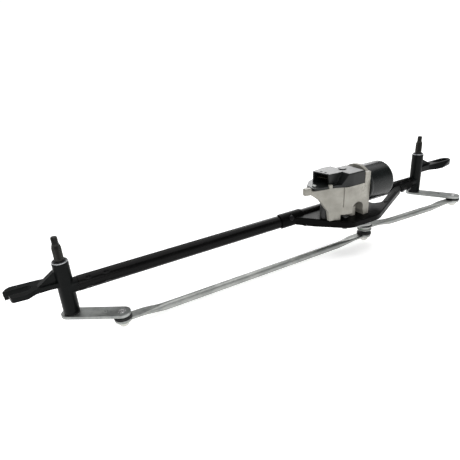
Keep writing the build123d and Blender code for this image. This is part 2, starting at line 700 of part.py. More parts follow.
def locating_pin():
    """A shouldered pin riveted in the bracket, which points down."""
    under = plate_top - plate_thickness
    pin = post(pin_r, under - 4, plate_top, pin_place) + post(5.2, plate_top, plate_top + 1.2, pin_place)
    pin += post(6.2, under - 2.0, under, pin_place)
    tip = post(4.6, under - 20.0, under - 1.0, pin_place)
    return pin + fillet(tip.edges().group_by(Axis.Z)[0], 1.5)


def bracket_rivets():
    return Compound(children=[rivet_shape(x, angle, rivet_r, 4.6) for x, angle in rivet_places])


# ---------------------------------------------------------------- all pieces

def write_pivot(side, centre, top, ball, lever_top, flat_z):
    """The pieces at one pivot: housing, bushes, spindle, rings, lever and its ball joint."""
    save(pivot_housing(side, centre, top), side + "_pivot_housing")
    save(pivot_bush(centre, top - bush_length), side + "_upper_bush")
    save(pivot_bush(centre, top - housing_length), side + "_lower_bush")
    save(spindle(centre, top), side + "_spindle")
    save(ring(washer_r, spindle_r, top + part_gap, top + 1.9, centre), side + "_thrust_washer")
    save(retaining_ring(centre, top), side + "_retaining_ring")
    save(ring(10.6, spindle_r, lever_top, lever_top + lever_drop - part_gap, centre), side + "_lower_seal")
    save(lever(centre, ball, lever_top), side + "_lever")
    save(lever_rivet(ball, lever_top), side + "_lever_rivet")
    lever_bottom = lever_top - lever_thickness
    save(ball_stud(ball, lever_bottom, flat_z), side + "_ball_stud")
    seal_bottom = flat_z + link_flat / 2 + 0.2
    save(joint_seal(ball, seal_bottom, lever_bottom - part_gap - 1.1, stud_r + 0.2), side + "_lever_seal")
    save(closed_socket(ball, flat_z), side + "_lever_socket")


write_pivot("left", left_pivot, left_top, left_ball, left_lever_top, left_link_z)
write_pivot("right", right_pivot, right_top, right_ball, right_lever_top, right_link_z + right_link_lift)

save(link(left_ball, crank_pin, left_link_z, left_link_z), "left_link")
save(link(crank_pin, right_ball, right_link_z, right_link_z + right_link_lift), "right_link")
save(crank_arm(), "crank_arm")
save(crank_nut(), "crank_nut")
save(crank_ball_pin(), "crank_ball_pin")
save(crank_bush(), "right_crank_bush")
save(closed_socket(crank_pin, left_link_z), "left_crank_socket")
save(joint_seal(crank_pin, right_link_z + 2.2, crank_top - crank_thickness - part_gap, journal_r + 0.3),
     "right_crank_seal")
save(joint_seal(crank_pin, left_link_z + 2.2, lower_seal_top, stud_r + 0.3), "left_crank_seal")
save(output_shaft(), "output_shaft")
save(worm_wheel(), "worm_wheel")
save(wheel_hub(), "wheel_hub")

save(frame_tube(), "frame_tube")
save(motor_bracket(), "motor_bracket")
save(bracket_rivets(), "bracket_rivets")
save(locating_pin(), "locating_pin")
save(gear_housing(), "gear_housing")
save(gear_cover(), "gear_cover")
save(output_bush(), "output_bush")
save(connector_pins(), "connector_pins")
save(contact_plate(), "contact_plate")
save(cover_screws(), "cover_screws")
save(motor_mount_screws(), "motor_mount_screws")
save(mount_standoff(), "mount_standoff")

save(motor_can(), "motor_can")
save(motor_end_plate(), "motor_end_plate")
save(can_screws(), "can_screws")
save(magnets(), "magnets")
save(brush_plate(), "brush_plate")
save(brushes(), "brushes")
save(armature_bearing(546.5, can_end_x + 1.5, 4.0), "rear_armature_bearing")
save(armature_bearing(flange_x - 9, flange_x, 3.46), "front_armature_bearing")
save(armature_shaft(), "armature_shaft")
save(armature_core(), "armature_core")
save(armature_windings(), "armature_windings")
save(commutator(), "commutator")
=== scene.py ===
import json
import math

import bmesh
import bpy
from mathutils import Matrix, Vector


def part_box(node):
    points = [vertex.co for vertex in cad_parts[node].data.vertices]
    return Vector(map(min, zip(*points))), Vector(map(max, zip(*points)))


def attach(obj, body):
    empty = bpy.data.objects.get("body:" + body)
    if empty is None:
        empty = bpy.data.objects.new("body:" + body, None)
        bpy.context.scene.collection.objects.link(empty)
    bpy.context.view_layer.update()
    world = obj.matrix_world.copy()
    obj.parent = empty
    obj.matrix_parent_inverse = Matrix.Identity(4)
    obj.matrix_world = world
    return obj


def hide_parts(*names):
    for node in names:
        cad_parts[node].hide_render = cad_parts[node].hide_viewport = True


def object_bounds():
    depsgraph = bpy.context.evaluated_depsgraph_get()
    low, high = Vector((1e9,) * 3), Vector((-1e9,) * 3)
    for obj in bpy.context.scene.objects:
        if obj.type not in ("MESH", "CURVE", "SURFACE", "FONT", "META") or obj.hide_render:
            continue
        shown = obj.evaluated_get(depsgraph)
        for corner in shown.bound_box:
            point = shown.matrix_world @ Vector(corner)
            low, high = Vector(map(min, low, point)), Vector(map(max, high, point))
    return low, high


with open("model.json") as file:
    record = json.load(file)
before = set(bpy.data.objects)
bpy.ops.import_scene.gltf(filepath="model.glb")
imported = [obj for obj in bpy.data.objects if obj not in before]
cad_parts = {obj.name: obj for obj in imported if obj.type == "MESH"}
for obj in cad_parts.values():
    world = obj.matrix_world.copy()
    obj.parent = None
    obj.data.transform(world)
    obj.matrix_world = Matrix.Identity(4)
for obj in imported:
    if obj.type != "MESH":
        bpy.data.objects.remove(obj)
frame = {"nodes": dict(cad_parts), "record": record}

# Looks for the windshield wiper drive, in metres and in the CAD model's own frame: the origin is on
# the left spindle, +X runs along the frame tube and +Z along the spindles. Sizes of the object's
# shapes are in millimetres until they are multiplied by MM.

cad_low, cad_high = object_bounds()
MM = 0.001
PIVOT_SIDES = ("left", "right")


def middle(node):
    """The middle of a CAD node's box."""
    low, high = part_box(node)
    return (low + high) / 2


def loose_boxes(node):
    """The boxes of the separate solids in one CAD node, from left to right."""
    work = bmesh.new()
    work.from_mesh(frame["nodes"][node].data)
    bmesh.ops.remove_doubles(work, verts=work.verts, dist=0.01 * MM)
    waiting = set(work.verts)
    boxes = []
    while waiting:
        found = [waiting.pop()]
        cloud = []
        while found:
            vertex = found.pop()
            cloud.append(vertex.co.copy())
            for edge in vertex.link_edges:
                other = edge.other_vert(vertex)
                if other in waiting:
                    waiting.remove(other)
                    found.append(other)
        low = Vector([min(point[axis] for point in cloud) for axis in range(3)])
        high = Vector([max(point[axis] for point in cloud) for axis in range(3)])
        boxes.append((low, high))
    work.free()
    return sorted(boxes, key=lambda box: tuple(box[0]))


# ---------------------------------------------------------------- material helpers

def new_material(name):
    """An empty node material with its shader, and the object's own coordinates."""
    material = bpy.data.materials.new(name)
    material.use_nodes = True
    nodes = material.node_tree.nodes
    coordinates = nodes.new("ShaderNodeTexCoord")
    return material, nodes["Principled BSDF"], coordinates.outputs["Object"]


def link(material, output, socket):
    material.node_tree.links.new(output, socket)


def grey(value):
    return (value, value, value)


def noise(material, where, scale, detail=4.0, roughness=0.55, stretch=None):
    """A noise texture's factor, with an optional stretch of its coordinates."""
    nodes = material.node_tree.nodes
    texture = nodes.new("ShaderNodeTexNoise")
    texture.inputs["Scale"].default_value = scale
    texture.inputs["Detail"].default_value = detail
    texture.inputs["Roughness"].default_value = roughness
    if stretch:
        mapping = nodes.new("ShaderNodeMapping")
        mapping.inputs["Scale"].default_value = stretch
        link(material, where, mapping.inputs["Vector"])
        where = mapping.outputs["Vector"]
    link(material, where, texture.inputs["Vector"])
    return texture.outputs["Fac"]


def ramp(material, factor, stops):
    """A colour ramp through (position, colour) stops."""
    node = material.node_tree.nodes.new("ShaderNodeValToRGB")
    elements = node.color_ramp.elements
    for number, (position, colour) in enumerate(stops):
        element = elements[number] if number < 2 else elements.new(position)
        element.position = position
        element.color = (*colour, 1.0)
    link(material, factor, node.inputs["Fac"])
    return node.outputs["Color"]


def mix(material, factor, first, second, mode="MIX"):
    """Mixes two colours; the factor and each colour may be a socket or a plain value."""
    node = material.node_tree.nodes.new("ShaderNodeMix")
    node.data_type = "RGBA"
    node.blend_type = mode
    inputs = [socket for socket in node.inputs if socket.enabled]
    for socket, value in zip(inputs, (factor, first, second)):
        if isinstance(value, bpy.types.NodeSocket):
            link(material, value, socket)
        elif isinstance(value, (int, float)):
            socket.default_value = value
        else:
            socket.default_value = (*value, 1.0)
    return [socket for socket in node.outputs if socket.enabled][0]


def bump(material, shader, layers):
    """Stacks (height, strength, distance) bumps on the shader's normal."""
    previous = None
    for height, strength, distance in layers:
        node = material.node_tree.nodes.new("ShaderNodeBump")
        node.inputs["Strength"].default_value = strength
        node.inputs["Distance"].default_value = distance
        link(material, height, node.inputs["Height"])
        if previous:
            link(material, previous, node.inputs["Normal"])
        previous = node.outputs["Normal"]
    link(material, previous, shader.inputs["Normal"])


def roughness_range(material, shader, factor, low, high):
    """Lets a texture drive the roughness between two values."""
    link(material, ramp(material, factor, [(0.3, grey(low)), (0.75, grey(high))]), shader.inputs["Roughness"])


def edge_wear(material, where, amount):
    """A mask that is bright on the rounded convex edges, broken up by noise."""
    geometry = material.node_tree.nodes.new("ShaderNodeNewGeometry")
    pointed = ramp(material, geometry.outputs["Pointiness"], [(0.58, grey(0.0)), (0.72, grey(amount))])
    broken = ramp(material, noise(material, where, 300.0, 6.0), [(0.42, grey(0.0)), (0.60, grey(1.0))])
    return mix(material, 1.0, pointed, broken, "MULTIPLY")


# ---------------------------------------------------------------- materials

def painted(name, dark, light, rough, wear, specular, stretch=None):
    """Satin paint on metal: slight shade drift, orange peel, uneven sheen, scuffs and worn edges."""
    material, shader, where = new_material(name)
    drift = ramp(material, noise(material, where, 26.0, 5.0), [(0.35, dark), (0.7, light)])
    rubs = noise(material, where, 210.0, 9.0, 0.7, stretch)
    scuffs = ramp(material, rubs, [(0.66, grey(0.0)), (0.80, grey(0.3))])
    tone = mix(material, scuffs, drift, grey(0.06))
    worn = mix(material, edge_wear(material, where, wear), tone, grey(0.16))
    link(material, worn, shader.inputs["Base Color"])
    roughness_range(material, shader, noise(material, where, 95.0, 8.0, 0.65), rough - 0.05, rough + 0.09)
    shader.inputs["Specular IOR Level"].default_value = specular
    peel = noise(material, where, 700.0, 2.0)
    bump(material, shader, [(peel, 0.05, 0.00008), (noise(material, where, 60.0, 3.0), 0.05, 0.0004)])
    return material


def plated(name, dark, light, rough, stretch, metallic=0.85):
    """Plated, drawn or turned metal: cloudy tone, fine grain and small dull stains."""
    material, shader, where = new_material(name)
    cloud = ramp(material, noise(material, where, 38.0, 6.0), [(0.3, dark), (0.72, light)])
    stains = ramp(material, noise(material, where, 150.0, 8.0, 0.7), [(0.34, grey(0.78)), (0.5, grey(1.0))])
    link(material, mix(material, 1.0, cloud, stains, "MULTIPLY"), shader.inputs["Base Color"])
    shader.inputs["Metallic"].default_value = metallic
    grain = noise(material, where, 520.0, 3.0, 0.5, stretch)
    roughness_range(material, shader, grain, rough - 0.06, rough + 0.1)
    bump(material, shader, [(grain, 0.08, 0.00008), (noise(material, where, 90.0, 4.0), 0.06, 0.0003)])
    return material


def cast(name, dark, light, metallic, rough, skin_strength, specular=0.5):
    """Die-cast metal or ferrite: mottled tone, fine granular skin, faint flow marks and rubbed edges."""
    material, shader, where = new_material(name)
    mottled = ramp(material, noise(material, where, 45.0, 8.0, 0.6), [(0.3, dark), (0.7, light)])
    flow_noise = noise(material, where, 14.0, 4.0, 0.5, (1.0, 1.0, 5.0))
    flow = ramp(material, flow_noise, [(0.35, grey(0.86)), (0.65, grey(1.0))])
    tone = mix(material, 1.0, mottled, flow, "MULTIPLY")
    rubbed = tuple(min(1.0, channel * 1.5) for channel in light)
    link(material, mix(material, edge_wear(material, where, 0.5), tone, rubbed), shader.inputs["Base Color"])
    shader.inputs["Metallic"].default_value = metallic
    shader.inputs["Specular IOR Level"].default_value = specular
    skin = noise(material, where, 700.0, 6.0, 0.7)
    roughness_range(material, shader, skin, rough - 0.06, rough + 0.1)
    waves = noise(material, where, 120.0, 4.0)
    bump(material, shader, [(skin, skin_strength, 0.00015), (waves, 0.10, 0.0003)])
    return material


def moulded(name, dark, light, rough, grain_strength, specular=0.5, subsurface=0.0):
    """Moulded plastic: even tone with a fine spark-eroded grain."""
    material, shader, where = new_material(name)
    tone = ramp(material, noise(material, where, 55.0, 5.0), [(0.35, dark), (0.7, light)])
    link(material, tone, shader.inputs["Base Color"])
    grain = noise(material, where, 1100.0, 4.0, 0.6)
    roughness_range(material, shader, grain, rough - 0.04, rough + 0.07)
    shader.inputs["Specular IOR Level"].default_value = specular
    shader.inputs["Subsurface Weight"].default_value = subsurface
    shader.inputs["Subsurface Scale"].default_value = 0.002
    waves = noise(material, where, 70.0, 3.0)
    bump(material, shader, [(grain, grain_strength, 0.0001), (waves, 0.05, 0.0004)])
    return material


def rubber(name):
    """Black rubber: matt, slightly grey with bloom, finely pitted."""
    material, shader, where = new_material(name)
    bloom = ramp(material, noise(material, where, 130.0, 7.0, 0.65), [(0.4, grey(0.008)), (0.8, grey(0.030))])
    link(material, bloom, shader.inputs["Base Color"])
    pits = noise(material, where, 1500.0, 3.0)
    roughness_range(material, shader, pits, 0.55, 0.75)
    bump(material, shader, [(pits, 0.12, 0.0001)])
    return material


EVEN = (1.0, 1.0, 1.0)                  # grain that runs no particular way
slot_materials = {
    "frame_paint": painted("frame_paint", grey(0.0015), grey(0.003), 0.24, 0.4, 0.09, (0.4, 2.0, 2.0)),
    "housing_casting": cast("housing_casting", (0.0015, 0.002, 0.002), (0.003, 0.004, 0.004), 0.0, 0.34, 0.14,
                            0.09),
    "motor_paint": painted("motor_paint", (0.003, 0.004, 0.004), (0.006, 0.008, 0.008), 0.24, 0.3, 0.26),
    "zinc_steel": plated("zinc_steel", (0.24, 0.25, 0.245), (0.36, 0.37, 0.36), 0.36, EVEN),
    "washer_steel": plated("washer_steel", (0.25, 0.26, 0.27), (0.38, 0.39, 0.40), 0.25, EVEN),
    "spindle_steel": plated("spindle_steel", (0.008, 0.0075, 0.006), (0.019, 0.018, 0.015), 0.38,
                            (3.0, 3.0, 0.3), 0.5),
    "bronze": plated("bronze", (0.30, 0.19, 0.09), (0.46, 0.31, 0.15), 0.4, EVEN),
    "copper": plated("copper", (0.5, 0.2, 0.1), (0.75, 0.36, 0.2), 0.35, EVEN),
    "ferrite": cast("ferrite", grey(0.04), grey(0.09), 0.3, 0.6, 0.3),
    "die_casting": cast("die_casting", (0.235, 0.226, 0.198), (0.335, 0.325, 0.29), 0.3, 0.44, 0.22),
    "socket_plastic": moulded("socket_plastic", (0.50, 0.50, 0.47), (0.62, 0.62, 0.585), 0.42, 0.08,
                              subsurface=0.12),
    "cover_plastic": moulded("cover_plastic", (0.004, 0.005, 0.005), (0.008, 0.009, 0.009), 0.32, 0.08, 0.3),
    "seal_rubber": rubber("seal_rubber"),
}
LINK_ZINC = plated("link_zinc", (0.24, 0.25, 0.24), (0.38, 0.39, 0.375), 0.42, (0.2, 3.0, 3.0))
DULL_TIN = plated("dull_tin", (0.05, 0.045, 0.035), (0.10, 0.09, 0.07), 0.45, EVEN)
BLUED_STEEL = plated("blued_steel", (0.012, 0.012, 0.013), (0.03, 0.03, 0.032), 0.4, EVEN)
BRIGHT_STEEL = plated("bright_steel", grey(0.60), grey(0.75), 0.22, EVEN)
BRACKET_PAINT = painted("bracket_paint", grey(0.0015), grey(0.003), 0.30, 0.4, 0.04)
own_materials = {
    "motor_bracket": BRACKET_PAINT,
    "bracket_rivets": BLUED_STEEL,
    "connector_pins": DULL_TIN,
    "left_lever_rivet": BRIGHT_STEEL,
    "right_lever_rivet": BRIGHT_STEEL,
    "left_retaining_ring": BLUED_STEEL,
    "right_retaining_ring": BLUED_STEEL,
}
slot_of = {part["node"]: part["material_slot"] for part in frame["record"]["subparts"]}

for node, obj in frame["nodes"].items():
    obj.data.materials.clear()
    obj.data.materials.append(own_materials.get(node, slot_materials[slot_of[node]]))


# ---------------------------------------------------------------- rounded edges on the CAD nodes

WELD_DISTANCE = 0.02 * MM
FLAT_ANGLE = math.radians(1.0)          # faces that meet within this angle count as one
SHARP_ANGLE = math.radians(30.0)        # edges sharper than this are rounded


def soften(node, width):
    """Rounds a CAD node's sharp edges with modifiers; its own mesh keeps its shape."""
    obj = frame["nodes"][node]
    weld = obj.modifiers.new("weld", "WELD")
    weld.merge_threshold = WELD_DISTANCE
    planar = obj.modifiers.new("planar", "DECIMATE")
    planar.decimate_type = "DISSOLVE"
    planar.angle_limit = FLAT_ANGLE
    bevel = obj.modifiers.new("bevel", "BEVEL")
    bevel.width = width
    bevel.segments = 3
    bevel.limit_method = "ANGLE"
    bevel.angle_limit = SHARP_ANGLE
    bevel.use_clamp_overlap = False
    for polygon in obj.data.polygons:
        polygon.use_smooth = True
    normals = obj.modifiers.new("normals", "WEIGHTED_NORMAL")
    normals.keep_sharp = True


edge_widths = {                         # in MM
    0.5: ["left_lever", "right_lever", "crank_arm", "mount_standoff"],
    0.35: ["left_pivot_housing", "right_pivot_housing", "gear_cover"],
    0.25: ["gear_housing", "motor_bracket", "locating_pin", "motor_end_plate", "left_lever_socket",
           "right_lever_socket", "left_crank_socket", "crank_ball_pin", "left_thrust_washer",
           "right_thrust_washer"],
}
for width, names in edge_widths.items():
    for node in names:
        soften(node, width * MM)


# ---------------------------------------------------------------- mesh helpers

UPRIGHT = (Vector((1, 0, 0)), Vector((0, 1, 0)), Vector((0, 0, 1)))
LYING = (Vector((0, 1, 0)), Vector((0, 0, 1)), Vector((1, 0, 0)))       # turned about the X axis


def rings_to_mesh(rings, closed=False):
    """Points and faces through rings of equal length; the ends are capped, or joined when closed."""
    count = len(rings[0])
    points = [point for ring in rings for point in ring]
    faces = []
    for row in range(len(rings) if closed else len(rings) - 1):
        low = row * count
        high = (row + 1) % len(rings) * count
        for step in range(count):
            after = (step + 1) % count
            faces.append((low + step, low + after, high + after, high + step))
    if not closed:
        faces.append(tuple(reversed(range(count))))
        faces.append(tuple(range((len(rings) - 1) * count, len(rings) * count)))
    return points, faces


def turned(origin, axes, profile, steps, shape=None, closed=False):
    """A mesh turned through (radius, height) points in MM; shape() may vary the radius with the angle."""
    first, second, main = axes
    rings = []
    for radius, height in profile:
        ring = []
        for step in range(steps):
            angle = 2 * math.pi * step / steps
            reach = shape(radius, height, angle) if shape else radius
            outward = first * math.cos(angle) + second * math.sin(angle)
            ring.append(origin + outward * (reach * MM) + main * (height * MM))
        rings.append(ring)
    return rings_to_mesh(rings, closed)


def add_piece(name, shells, body, slot, nodes=(), material=None, sharp=32.0):
    """One piece made of one or more closed shells, which rides on a body and may stand for CAD nodes."""
    points = []
    faces = []
    for shell_points, shell_faces in shells:
        start = len(points)
        points.extend(shell_points)
        faces.extend(tuple(start + corner for corner in face) for face in shell_faces)
    mesh = bpy.data.meshes.new(name)
    mesh.from_pydata(points, [], faces)
    work = bmesh.new()
    work.from_mesh(mesh)
    bmesh.ops.recalc_face_normals(work, faces=work.faces)
    work.to_mesh(mesh)
    work.free()
    mesh.polygons.foreach_set("use_smooth", [True] * len(mesh.polygons))
    mesh.set_sharp_from_angle(angle=math.radians(sharp))
    mesh.materials.append(material or slot_materials[slot])
    obj = bpy.data.objects.new(name, mesh)
    bpy.context.scene.collection.objects.link(obj)
    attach(obj, body)
    if nodes:
        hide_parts(*nodes)
    return obj


def smoothstep(value):
    value = max(0.0, min(1.0, value))
    return value * value * (3 - 2 * value)


# ---------------------------------------------------------------- spindles

SPINDLE_RIBS = 36
RIB_DEPTH = 0.5
LAND_RADIUS = 6.2
RIVET_RADIUS = 6.8                      # the spindle's riveted lower end, under the lever
NECK_RADIUS = 5.5                       # where it passes through the lever
GROOVE_RADIUS = 5.4                     # under the retaining ring
THREAD_RADIUS = 4.5
TAPER_START = 21.5
TAPER_HEIGHT = 4.5
LAND_START = 4.6                        # ribs start this much above the housing's top
LAND_END = 26.2                         # and run out on the taper
RIB_FADE_IN = 0.8
RIB_FADE_OUT = 1.5
THREAD_START = 27.6
THREAD_PITCH = 1.25
THREAD_DEPTH = 0.55
SPINDLE_TIP = 36.8


def spindle_radius(radius, height, angle):
    """The spindle's radius: upright ribs on the land and the taper, a cut thread on the tip."""
    if LAND_START <= height <= LAND_END:
        fade_in = smoothstep((height - LAND_START) / RIB_FADE_IN)
        fade_out = smoothstep((LAND_END - height) / RIB_FADE_OUT)
        return radius - RIB_DEPTH * (fade_in * fade_out) * (0.5 - 0.5 * math.cos(SPINDLE_RIBS * angle))
    if THREAD_START <= height <= SPINDLE_TIP - 1.0:
        turn = (height / THREAD_PITCH - angle / (2 * math.pi)) % 1.0
        return radius - THREAD_DEPTH * abs(2 * turn - 1)
    return radius


def add_spindle(side):
    """A spindle with its lower rivet neck, retaining groove, splined land and taper, and threaded tip."""
    low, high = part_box(side + "_spindle")
    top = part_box(side + "_pivot_housing")[1].z
    centre = (low + high) / 2
    foot = (low.z - top) / MM
    profile = [(0.01, foot), (5.2, foot), (5.6, foot + 0.1), (RIVET_RADIUS, foot + 0.8),
               (RIVET_RADIUS, foot + 1.6), (NECK_RADIUS, foot + 1.6), (NECK_RADIUS, foot + 6.1),
               (LAND_RADIUS, foot + 6.1), (LAND_RADIUS, 2.05), (GROOVE_RADIUS, 2.05), (GROOVE_RADIUS, 3.15),
               (6.0, 3.15), (LAND_RADIUS, 3.4)]
    profile += [(LAND_RADIUS, LAND_START + 0.6 * step) for step in range(28)]
    profile += [(LAND_RADIUS - 1.3 * step / 6, TAPER_START + TAPER_HEIGHT * step / 6) for step in range(7)]
    profile += [(THREAD_RADIUS, 27.0), (THREAD_RADIUS, THREAD_START - 0.1)]
    thread_steps = 40
    thread_length = SPINDLE_TIP - 1.0 - THREAD_START
    for step in range(thread_steps + 1):
        profile.append((THREAD_RADIUS, THREAD_START + thread_length * step / thread_steps))
    profile += [(4.2, SPINDLE_TIP - 0.9), (3.6, SPINDLE_TIP - 0.1), (3.4, SPINDLE_TIP), (0.01, SPINDLE_TIP)]
    shell = turned(Vector((centre.x, centre.y, top)), UPRIGHT, profile, 4 * SPINDLE_RIBS, spindle_radius)
    add_piece(side + "_splined_spindle", [shell], side + "_lever", "spindle_steel", [side + "_spindle"])


for side in PIVOT_SIDES:
    add_spindle(side)


# ---------------------------------------------------------------- links

LINK_RADIUS = 6.0
FLAT_HALF_WIDTH = 8.5
FLAT_HALF_HEIGHT = 2.0
FLAT_SINK = 0.03                        # keeps the tube's flat just inside the faces of its eye
FLAT_END = 24.0                         # from an eye to the end of its flat
ROUND_START = 66.0                      # from an eye to the full round section
ROD_DROP = 4.0                          # the round part runs this much below the flats
EYE_RADIUS = 12.0
EYE_HOLE = 8.2
FLAT_POWER = 5.5                        # how square the section is at the flat
ROUND_POWER = 2.0                       # and where it is round
CREASE_DEPTH = 0.7
CREASE_WIDTH = 2.6
CREASE_LEAD = 8.0                       # the crease starts this far before the flat's end
CREASE_FADE_IN = 18.0
CREASE_FADE_OUT = 26.0
BODY_START = 10.0                       # the tube begins inside its eye, this far from the eye's axis
STATION_STEP = 1.5                      # between sections where the tube changes shape
LINK_LIFT = {"left": 0.0, "right": 4.0}     # how much higher a link ends than it starts


def link_section(place, length, lift):
    """Half width, half height, squareness, shift in height and crease depth of a link at a place on it."""
    from_eye = min(place, length - place)
    flat = 1 - smoothstep((from_eye - FLAT_END) / (ROUND_START - FLAT_END))
    half_width = LINK_RADIUS + (FLAT_HALF_WIDTH - LINK_RADIUS) * flat
    half_height = LINK_RADIUS + (FLAT_HALF_HEIGHT - FLAT_SINK - LINK_RADIUS) * flat
    power = ROUND_POWER + (FLAT_POWER - ROUND_POWER) * flat ** 2
    rise = lift * smoothstep((place - FLAT_END) / (length - 2 * FLAT_END))
    shift = rise - ROD_DROP * (1 - flat)
    crease_in = smoothstep((from_eye - FLAT_END + CREASE_LEAD) / CREASE_FADE_IN)
    crease_out = smoothstep((ROUND_START - from_eye) / CREASE_FADE_OUT)
    return half_width, half_height, power, shift, CREASE_DEPTH * crease_in * crease_out


def link_shell(start, end, height, lift):
    """A round tube pressed flat at both ends, with a crease where the flat runs out."""
    along = Vector((end.x - start.x, end.y - start.y, 0.0))
    length = along.length / MM
    along.normalize()
    across = Vector((-along.y, along.x, 0.0))
    shaped = int((ROUND_START + 6 - BODY_START) / STATION_STEP) + 1
    stations = [BODY_START + STATION_STEP * step for step in range(shaped)]
    bars = 14
    inner = stations[-1]
    spans = [inner + (length - 2 * inner) * step / bars for step in range(1, bars)]
    stations = stations + spans + [length - place for place in reversed(stations)]
    steps = 48
    rings = []
    for place in stations:
        half_width, half_height, power, shift, crease = link_section(place, length, lift)
        ring = []
        for step in range(steps):
            angle = 2 * math.pi * step / steps
            cosine = math.cos(angle)
            sine = math.sin(angle)
            y = half_width * math.copysign(abs(cosine) ** (2 / power), cosine)
            z = half_height * math.copysign(abs(sine) ** (2 / power), sine)
            z -= math.copysign(crease * math.exp(-(y / CREASE_WIDTH) ** 2), sine) if abs(sine) > 0.05 else 0.0
            base = Vector((start.x, start.y, height)) + along * (place * MM)
            ring.append(base + across * (y * MM) + Vector((0, 0, (z + shift) * MM)))
        rings.append(ring)
    return rings_to_mesh(rings)


def eye_shell(centre, height):
    """A flat eye with rounded rims."""
    rim = 0.45
    outer = [(EYE_RADIUS - rim, -FLAT_HALF_HEIGHT), (EYE_RADIUS, -FLAT_HALF_HEIGHT + rim),
             (EYE_RADIUS, FLAT_HALF_HEIGHT - rim), (EYE_RADIUS - rim, FLAT_HALF_HEIGHT)]
    inner = [(EYE_HOLE + rim, FLAT_HALF_HEIGHT), (EYE_HOLE, FLAT_HALF_HEIGHT - rim),
             (EYE_HOLE, -FLAT_HALF_HEIGHT + rim), (EYE_HOLE + rim, -FLAT_HALF_HEIGHT)]
    return turned(Vector((centre.x, centre.y, height)), UPRIGHT, outer + inner, 72, closed=True)


def add_link(side, start, end):
    """One link from its start to its end, both given as places on the eyes' axes."""
    lift = LINK_LIFT[side]
    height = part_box(side + "_link")[1].z - (FLAT_HALF_HEIGHT + lift) * MM
    shells = [link_shell(start, end, height, lift), eye_shell(start, height),
              eye_shell(end, height + lift * MM)]
    add_piece(side + "_pressed_link", shells, side + "_link", "zinc_steel", [side + "_link"], LINK_ZINC, 45.0)


add_link("left", middle("left_ball_stud"), middle("crank_ball_pin"))
add_link("right", middle("crank_ball_pin"), middle("right_ball_stud"))


# ---------------------------------------------------------------- rubber seals

def add_seal(node, body, hole, lips):
    """A soft ring with thin flared lips and narrow waists between them."""
    low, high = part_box(node)
    centre = (low + high) / 2
    radius = (high.x - low.x) / 2 / MM
    height = (high.z - low.z) / MM
    outside = []
    for lip in range(lips):
        base = height * lip / lips
        step = height / lips
        outside += [(radius - 0.5, base), (radius, base + 0.14 * step), (radius, base + 0.36 * step),
                    (radius - 0.35, base + 0.5 * step), (radius - 1.3, base + 0.62 * step),
                    (radius - 1.5, base + 0.78 * step), (radius - 1.2, base + 0.92 * step)]
    profile = [(hole, 0.0)] + outside + [(radius - 1.6, height), (hole, height)]
    shell = turned(Vector((centre.x, centre.y, low.z)), UPRIGHT, profile, 72, closed=True)
    add_piece(node.replace("seal", "lipped_seal"), [shell], body, "seal_rubber", [node])


for side in PIVOT_SIDES:
    add_seal(side + "_lever_seal", side + "_link", 4.2, 2)
    add_seal(side + "_lower_seal", side + "_lever", 6.2, 2)
add_seal("right_crank_seal", "right_link", 5.3, 2)
add_seal("left_crank_seal", "left_link", 4.3, 2)


# ---------------------------------------------------------------- frame tube

TUBE_WALL = 2.0
STAKE_ROWS = (14.0, 39.0)               # from the tube's end
STAKE_TURN = 40.0                       # degrees from +Y to the first of the four dents in a row
STAKED_LENGTH = 52                      # of fine sections at each end, which the dents need
STAKE_LENGTH = 3.4
STAKE_WIDTH = 2.0
STAKE_DEPTH = 1.3


def add_tube():
    """The frame tube, rolled at its ends and staked into its spigots by two rows of dents at each end."""
    low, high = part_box("frame_tube")
    radius = (high.z - low.z) / 2 / MM
    length = (high.x - low.x) / MM

    def dented(wanted, place, angle):
        if wanted < radius - 0.5:
            return wanted
        depth = 0.0
        for row in STAKE_ROWS:
            for centre in (row, length - row):
                along = (place - centre) / STAKE_LENGTH
                for quarter in range(4):
                    turn = angle - math.radians(STAKE_TURN + 90 * quarter)
                    turn = (turn + math.pi) % (2 * math.pi) - math.pi
                    across = turn * radius / STAKE_WIDTH
                    depth += STAKE_DEPTH * math.exp(-along ** 2 - across ** 2)
        return wanted - depth

    near_end = [0.4] + [1.0 * step for step in range(1, STAKED_LENGTH)]
    bars = 24
    plain = length - 2 * STAKED_LENGTH
    places = near_end + [STAKED_LENGTH + plain * step / bars for step in range(bars + 1)]
    places += [length - place for place in reversed(near_end)]
    profile = [(radius - 0.4, 0.0)] + [(radius, place) for place in places] + [(radius - 0.4, length)]
    inside = radius - TUBE_WALL
    profile += [(inside + 0.3, length), (inside, length - 0.3), (inside, 0.3), (inside + 0.3, 0.0)]
    start = Vector((low.x, (low.y + high.y) / 2, (low.z + high.z) / 2))
    shell = turned(start, LYING, profile, 96, dented, closed=True)
    add_piece("staked_frame_tube", [shell], "frame", "frame_paint", ["frame_tube"])


add_tube()


# ---------------------------------------------------------------- fasteners

def hexagon(limit, flats, angle):
    """The radius of a hexagon of a given width across its flats, cut by a round chamfer."""
    turn = (angle % (math.pi / 3)) - math.pi / 6
    return min(limit, flats / 2 / math.cos(turn))


def washer_head(flats, washer, low, high):
    """The profile of a hexagonal head on its round washer, with chamfered corners, between two heights."""
    corner = flats / 2 / math.cos(math.pi / 6) + 0.1
    return [(washer, low), (washer, low + 0.7), (washer - 0.6, low + 1.0), (corner, low + 1.0),
            (corner, high - 0.6), (flats / 2 - 0.1, high), (0.01, high)]


